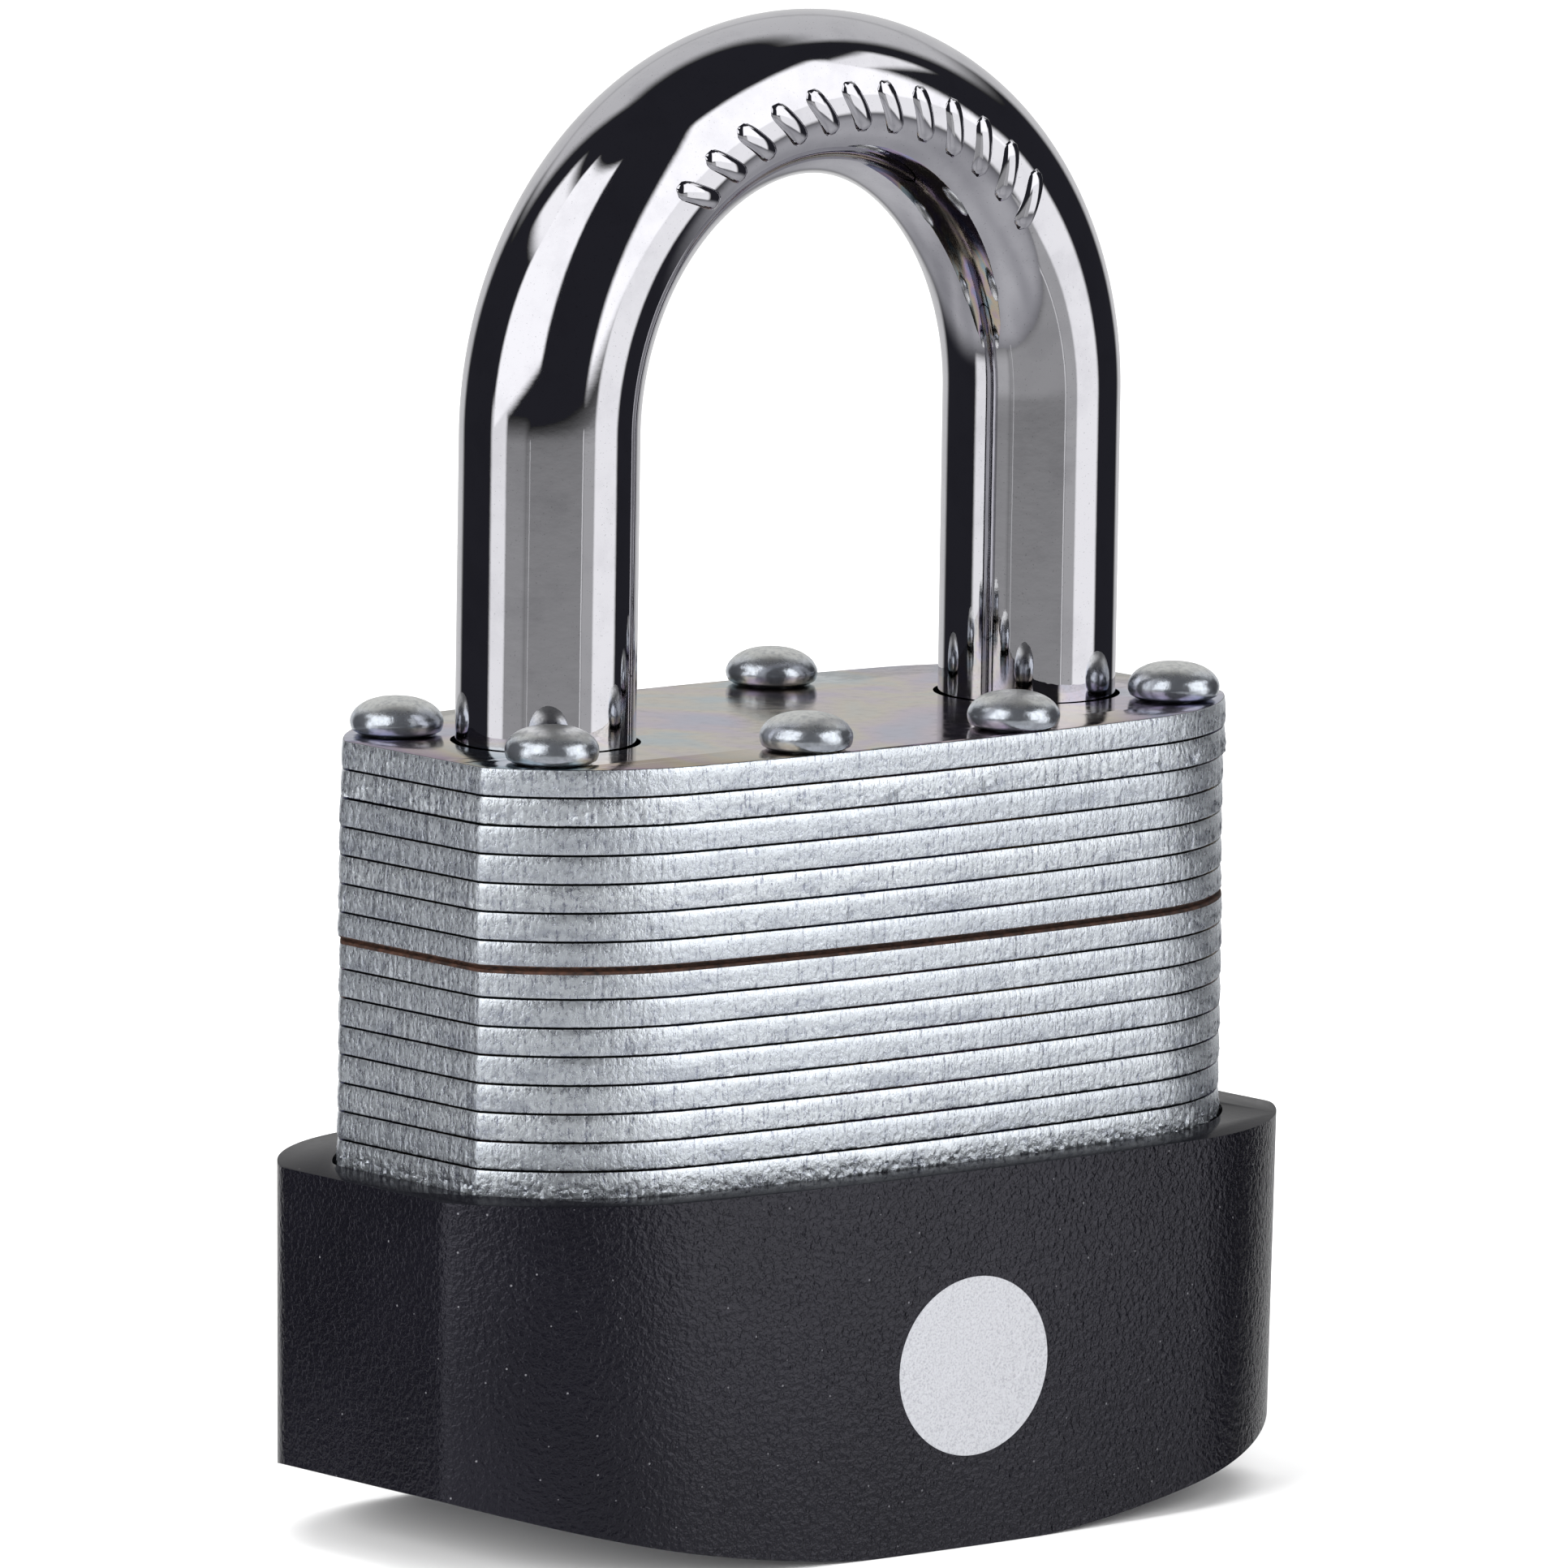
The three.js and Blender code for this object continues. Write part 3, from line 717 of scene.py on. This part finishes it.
def bar_point(turn, around, lift=0.0):
    """A point on the arch's surface, lifted off it; around is 0 outside and 90 degrees in front."""
    centre, out, deep, wide = bar_station(turn)
    return (centre + out * (deep + lift) * math.cos(around)
            + FRONT * (wide + lift) * math.sin(around))


def shackle(material):
    """One bar, bent to a U, with a ball's pocket inside each leg."""
    sides, corner = BAR_STEPS["round"], BAR_END_CORNER
    rings = []

    def straight(side, z, shrink=0.0):
        radius = BAR_RADIUS - shrink
        rings.append((Vector((side * LEG_X, 0, z)), Vector((side, 0, 0)), radius, radius))

    def rounded_end(side, bottom, turns):
        for turn in turns:
            straight(side, bottom + corner * (1 - math.cos(turn)), corner * (1 - math.sin(turn)))

    end_turns = [math.radians(angle) for angle in range(0, 91, 18)]
    rounded_end(-1, HEEL_BOTTOM, end_turns)
    for z in np.linspace(HEEL_BOTTOM + corner, SPRING_LINE, BAR_STEPS["leg"])[1:-1]:
        straight(-1, z)
    for i in range(BAR_STEPS["arch"] + 1):
        rings.append(bar_station(math.pi * i / BAR_STEPS["arch"]))
    for z in np.linspace(SPRING_LINE, TOE_BOTTOM + corner, BAR_STEPS["leg"])[1:-1]:
        straight(1, z)
    rounded_end(1, TOE_BOTTOM, end_turns[::-1])
    points, faces = [], []
    for centre, out, deep, wide in rings:
        for i in range(sides):
            angle = 2 * math.pi * i / sides
            points.append(centre + out * deep * math.cos(angle) + FRONT * wide * math.sin(angle))
    for i in range(len(rings) - 1):
        faces += ring_faces(i * sides, (i + 1) * sides, sides)
    faces += [tuple(range(sides)), tuple(range(len(points) - sides, len(points)))]
    piece = mesh_piece("shackle_bar", points, faces)
    carve(piece, [ball_pocket(-1), ball_pocket(1)])
    set_material(piece, material)
    return finished(piece, "shackle", "shackle", "shackle")


def hatching(material):
    """A row of short slanted ridges raised on the front of the crown."""
    steps, sides = HATCH["steps"], HATCH["sides"]
    points, faces = [], []
    for turn in np.linspace(*HATCH["turns"], HATCH["count"]):
        start = len(points)
        path = []
        for i in range(steps + 1):
            share = i / steps
            along = math.radians(turn + HATCH["slant"] * (share - 0.5))
            around = math.radians(HATCH["low"] + (HATCH["high"] - HATCH["low"]) * share)
            path.append((bar_point(along, around), bar_point(along, around, 1.0)))
        for i, (foot, above) in enumerate(path):
            outward = above - foot
            ahead = (path[min(i + 1, steps)][0] - path[max(i - 1, 0)][0]).normalized()
            aside = outward.cross(ahead)
            taper = ridge_taper(2 * i / steps - 1)
            for k in range(sides):
                angle = 2 * math.pi * k / sides
                points.append(foot + aside * HATCH["half_width"] * taper * math.cos(angle)
                              + outward * HATCH["height"] * taper * math.sin(angle))
        for i in range(steps):
            faces += ring_faces(start + i * sides, start + (i + 1) * sides, sides)
        faces += [tuple(range(start, start + sides)), tuple(range(len(points) - sides, len(points)))]
    piece = mesh_piece("crown_hatching", points, faces, sharp=60)
    set_material(piece, material)
    return finished(piece, "shackle", "shackle")


def ridge_taper(place):
    """How full a ridge is at a place from -1, one end, to 1: blunt, and never quite closed."""
    bluntness, least = 6, 0.02
    return math.sqrt(max(1 - place ** bluntness, least))


def ball_pocket(side):
    """The hull of a ball's first and last place against the bar."""
    hull = bmesh.new()
    for share in (0.0, 1.0):
        across, height = BALL["x"] - BALL["run"] * share, BALL["z"] - BALL["drop"] * share
        place = Vector((side * across, 0, height))
        bmesh.ops.create_uvsphere(hull, u_segments=40, v_segments=20, radius=BALL["radius"] * MM,
                                  matrix=Matrix.Translation(place * MM))
    made = bmesh.ops.convex_hull(hull, input=hull.verts)
    inside = [part for part in made["geom_interior"] if isinstance(part, bmesh.types.BMVert)]
    bmesh.ops.delete(hull, geom=inside, context="VERTS")
    mesh = bpy.data.meshes.new("pocket")
    hull.to_mesh(mesh)
    hull.free()
    return new_object("pocket", mesh)


# ---- Bumper -----------------------------------------------------------------------------

def foot_rise(x):
    """Height of the bumper's underside: flat in the middle, an arc out to each end."""
    beyond = max(x * x - FOOT_HALF_WIDTH ** 2, 0)
    return END_RISE * beyond / (BUMPER["half_width"] ** 2 - FOOT_HALF_WIDTH ** 2)


def draft(z):
    """The bumper's size at a height as a share of its top's, as it narrows to leave its mould."""
    return 1 - DRAFT * (BUMPER_TOP - z) / BUMPER_TOP


def rounded_rectangle(half_width, half_depth, corner):
    x, y = half_width - corner, half_depth - corner
    quarter, steps = math.pi / 2, 10
    corners = [(x, y, 0), (x, -y, 1), (-x, -y, 2), (-x, y, 3)]
    return np.concatenate([arc(cx, cy, corner, k * quarter, (k + 1) * quarter, steps)
                           for cx, cy, k in corners])[::-1]


def bumper(material, rim):
    """The moulded cup: what its plan and its side view share, less the body's pocket and the window."""
    body, _ = outline(BUMPER, BUMPER_POINTS)
    piece = prism("bumper_cup", body, -PAST, BUMPER_TOP)
    reach, depth, above = BUMPER["half_width"] + PAST, BUMPER["half_depth"] + PAST, BUMPER_TOP + PAST
    arch_points = 90
    side = [(x, foot_rise(x)) for x in np.linspace(-reach, reach, arch_points)]
    side += [(reach, above), (-reach, above)]
    profile = prism("side_view", side, -depth, depth)
    profile.data.transform(Matrix.Rotation(math.pi / 2, 4, "X"))
    carve(piece, [profile], "INTERSECT")
    inner, normals = outline(BODY, BUMPER_POINTS)
    pocket = prism("pocket", inner + normals * BUMPER_FIT, BUMPER_FLOOR, above)
    window = prism("window", rounded_rectangle(**KEY_WINDOW), -PAST, BUMPER_FLOOR + PAST)
    carve(piece, [pocket, window])
    for vertex in piece.data.vertices:
        vertex.co.xy *= draft(vertex.co.z / MM)
    bevel(piece, BUMPER_EDGE)
    set_material(piece, material, rim)
    nearly_up, rim_depth = 0.9, 1
    for polygon in piece.data.polygons:
        if polygon.normal.z > nearly_up and polygon.center.z > (BUMPER_TOP - rim_depth) * MM:
            polygon.material_index = 1
    return finished(piece, "case", "bumper", "bumper")


def printed_disc(material):
    """A round of ink, a hair thick, that follows the curve of the bumper's front."""
    wall_points = 1600
    wall, _ = outline(BUMPER, wall_points)
    front = wall[wall[:, 1] < 0]
    front = front[np.argsort(front[:, 0])]
    rings, segments = DISC["rings"], DISC["round"]
    points, faces = [], []
    for layer in (INK, -SUNK):
        for i in range(1, rings + 1):
            for right, rise in circle(0, 0, i / rings, segments):
                x = DISC["x"] + right * DISC["half_width"]
                z = DISC["z"] + rise * DISC["half_height"]
                wall_y = np.interp(x, front[:, 0], front[:, 1]) * draft(z)
                points.append((x, wall_y - layer, z))
    half = rings * segments
    for start in (0, half):
        for i in range(rings - 1):
            faces += ring_faces(start + i * segments, start + (i + 1) * segments, segments)
        faces.append(tuple(range(start, start + segments)))
    faces += ring_faces(half - segments, 2 * half - segments, segments)
    piece = mesh_piece("printed_disc", points, faces)
    set_material(piece, material)
    return finished(piece, "case", "bumper")


# ---- Studio -----------------------------------------------------------------------------

def camera_axes():
    """The camera's right, up and forward directions."""
    azimuth, elevation, roll = (math.radians(CAMERA[k]) for k in ("azimuth", "elevation", "roll"))
    forward = Vector((math.sin(azimuth) * math.cos(elevation),
                      math.cos(azimuth) * math.cos(elevation), -math.sin(elevation)))
    level = Vector((math.cos(azimuth), -math.sin(azimuth), 0))
    upright = level.cross(forward)
    right = level * math.cos(roll) - upright * math.sin(roll)
    return right, level * math.sin(roll) + upright * math.cos(roll), forward


def place_camera():
    """Aims the camera at a point near the middle of the top plate."""
    right, up, forward = camera_axes()
    centre = Vector((0, 0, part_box("plate_01")[1].z))
    target = centre + (right * AIM["right"] + up * AIM["up"]) * MM
    data = bpy.data.cameras.new("camera")
    data.lens = CAMERA["lens"]
    data.clip_start = 0.01
    data.clip_end = 50
    camera = new_object("camera", data)
    turned = Matrix((right, up, -forward)).transposed().to_4x4()
    camera.matrix_world = Matrix.Translation(target - forward * CAMERA["distance"] * MM) @ turned
    bpy.context.scene.camera = camera


# Soft boxes and cards round the lock. Directions are in degrees: azimuth from the camera's side,
# turning to its right, then elevation. Each has its reach in both, its brightness, its soft edge
# and how steeply its lower edge rises to the right.
PANELS = [
    ("left_box", -76, -18, -6, 62, 1.5, 2.5, 0.28),
    ("left_wing", -104, -70, 36, 53, 1.4, 4, 0),
    ("left_foot", -78, -55, -22, 2, 1.17, 3, 0),
    ("front_card", -60, -26, -26, -6, 0.57, 7, 0),
    ("table_edge", -30, 62, -26, -6, 0.41, 4, 0),
    ("table_seam", -24, -22.8, -26, -6, 0.66, 0.5, 0),
    ("table_side", 45, 64, -26, -6, 0.52, 1.5, 0),
    ("side_seam", 43.5, 45, -26, -6, 0.92, 0.5, 0),
    ("right_box", 43, 92, -2, 49, 1.6, 3, 0),
    ("right_foot", 60, 96, -22, 6, 1.25, 3, 0),
    ("right_wing", 88, 110, 29, 43, 1.3, 3, 0),
]
# Two more behind it, with their azimuths counted on past 180 degrees
BACK_PANELS = [(148, 220, -24, 29, 0.70, 6, 0), (128, 232, 24, 60, 0.70, 7, 0)]
AMBIENT = (0.022, 0.022, 0.028)
# What the reflections show of the table: two greys that drift into each other up to a soft edge
GROUND = (0.36, 0.36, 0.38)
PALE_GROUND = (0.62, 0.62, 0.635)
GROUND_EDGE = -24
GROUND_SOFT = 7
BACKDROP = (0.93, 0.93, 0.93)
# Lights that fill the shadows without showing in the chrome, in metres and watts
LIGHTS = [
    dict(name="overhead", place=(0.4, 0.5, 2.6), target=(0.4, 0.5, 0), size=3.2, power=72),
    dict(name="front_fill", place=(-0.5, -1.3, 0.7), target=(0, 0, 0.03), size=1.2, power=18),
    dict(name="left_fill", place=(-1.4, -0.2, 0.5), target=(0, 0, 0.03), size=1.0, power=34),
]
FLOOR = dict(radius=6.0, sides=96)


def studio_world():
    """Surroundings for the reflections, by direction, and a plain backdrop for the camera."""
    world = bpy.data.worlds.new("studio")
    bpy.context.scene.world = world
    world.use_nodes = True
    s = Shader(world.node_tree)
    towards = s.node("ShaderNodeTexCoord").outputs["Generated"]
    azimuth = math.radians(CAMERA["azimuth"])
    right = (math.cos(azimuth), -math.sin(azimuth), 0)
    near = (-math.sin(azimuth), -math.cos(azimuth), 0)

    def along(direction):
        made = s.node("ShaderNodeVectorMath", {0: towards, 1: direction}, operation="DOT_PRODUCT")
        return made.outputs["Value"]

    around = s.math("DEGREES", s.math("ARCTAN2", along(right), along(near)))
    raised = s.math("DEGREES", s.math("ARCSINE", along((0, 0, 1))))
    behind = s.plus(around, s.times(s.math("LESS_THAN", around, 0.0), 360.0))

    def panel(turn, low, high, bottom, top, strength, soft, slope):
        """A panel's brightness in each direction, with turn as the azimuth."""
        lowered = s.minus(raised, s.times(s.minus(turn, low), slope))
        share = s.times(strength, s.ramp(turn, low - soft, low + soft))
        share = s.times(share, s.ramp(turn, high - soft, high + soft, 1.0, 0.0))
        share = s.times(share, s.ramp(lowered, bottom - soft, bottom + soft))
        return s.times(share, s.ramp(raised, top - soft, top + soft, 1.0, 0.0))

    light = 0.0
    for _, *sizes in PANELS:
        light = s.math("MAXIMUM", light, panel(around, *sizes))
    for sizes in BACK_PANELS:
        light = s.math("MAXIMUM", light, panel(behind, *sizes))
    lit = s.node("ShaderNodeCombineXYZ", {0: light, 1: light, 2: light}).outputs[0]
    drift = s.noise(towards, scale=1.6, detail=1.0)
    ground = s.mix(s.ramp(drift, 0.3, 0.7), GROUND, PALE_GROUND)
    above = s.ramp(raised, GROUND_EDGE - GROUND_SOFT, GROUND_EDGE + GROUND_SOFT)
    base = s.mix(above, ground, AMBIENT)
    total = s.node("ShaderNodeVectorMath", {0: lit, 1: base}, operation="MAXIMUM").outputs[0]
    seen = s.node("ShaderNodeLightPath").outputs["Is Camera Ray"]
    shown = s.mix(seen, total, BACKDROP)
    background = s.node("ShaderNodeBackground", {"Color": shown, "Strength": 1.0})
    s.tree.links.new(background.outputs[0], s.node("ShaderNodeOutputWorld").inputs[0])


def area_light(name, place, target, size, power):
    """A round soft light that reflections don't show."""
    data = bpy.data.lights.new(name, "AREA")
    data.shape = "DISK"
    data.size = size
    data.energy = power
    lamp = new_object(name, data)
    lamp.location = place
    lamp.rotation_euler = (Vector(target) - Vector(place)).to_track_quat("-Z", "Y").to_euler()
    lamp.visible_glossy = False


def floor():
    """Pale paper under the lock, which its reflections leave out."""
    mesh = bpy.data.meshes.new("floor")
    made = bmesh.new()
    bmesh.ops.create_circle(made, cap_ends=True, segments=FLOOR["sides"], radius=FLOOR["radius"])
    made.to_mesh(mesh)
    made.free()
    piece = new_object("floor", mesh)
    material, s = new_material("floor_paper")
    s.surface(Base_Color=(0.86, 0.86, 0.86, 1), Roughness=0.9, Specular_IOR_Level=0.0)
    set_material(piece, material)
    piece.visible_glossy = False


# ---- Assembly ---------------------------------------------------------------------------

# The finish of each CAD node, by how its name starts
FINISHES = {"brass": ("plug", "cylinder_shell", "chamber_cover", "key_pin", "driver_pin"),
            "steel": ("shackle_spring", "plug_clip", "driver_cam", "pin_spring"),
            "bright": ("ball",), "edge": ("plate",)}


def build_body(edge):
    """The plates that show, the rust between two of them, and the rivets."""
    face = top_face_material("zinc_face")
    rust = rust_material("rust")
    for number in range(1, PLATES_SHOWN + 1):
        plate(number, edge, face, rust)
    rust_film(rust)
    head = rivet_material("rivet_zinc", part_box("plate_01")[1].z / MM)
    for number, (x, y) in enumerate(RIVET_PLACES, 1):
        rivet(number, x, y, head)


def build_shackle():
    chrome = chrome_material("chrome")
    shackle(chrome)
    hatching(chrome)


def build_bumper():
    wall = bumper_material("black_plastic", relief=0.105, rough=0.25, specular=0.46)
    rim = bumper_material("black_plastic_rim", relief=0.006, rough=0.17, specular=0.01)
    bumper(wall, rim)
    printed_disc(print_material("pale_ink"))


def finish_works(edge):
    """Gives the CAD nodes their metals; the last finish whose start matches a name counts."""
    materials = {
        "brass": metal_material("brass", (0.52, 0.34, 0.12), (0.70, 0.50, 0.20), 0.28),
        "steel": metal_material("steel", (0.40, 0.41, 0.43), (0.60, 0.61, 0.63), 0.32),
        "bright": metal_material("ball_steel", (0.62, 0.63, 0.65), (0.76, 0.77, 0.79), 0.16, (1, 1, 1)),
        "edge": edge,
    }
    for name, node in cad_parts.items():
        for finish, starts in FINISHES.items():
            if name.startswith(starts):
                for material_slot in node.material_slots:
                    material_slot.material = materials[finish]


stack_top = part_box("plate_01")[1].z
pitch = stack_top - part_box("plate_02")[1].z
cut_edge = cut_edge_material("zinc_cut_edge", stack_top / MM, pitch / MM)
build_body(cut_edge)
build_shackle()
build_bumper()
finish_works(cut_edge)
floor()
studio_world()
for light in LIGHTS:
    area_light(**light)
place_camera()
bpy.context.scene.view_settings.view_transform = "Standard"
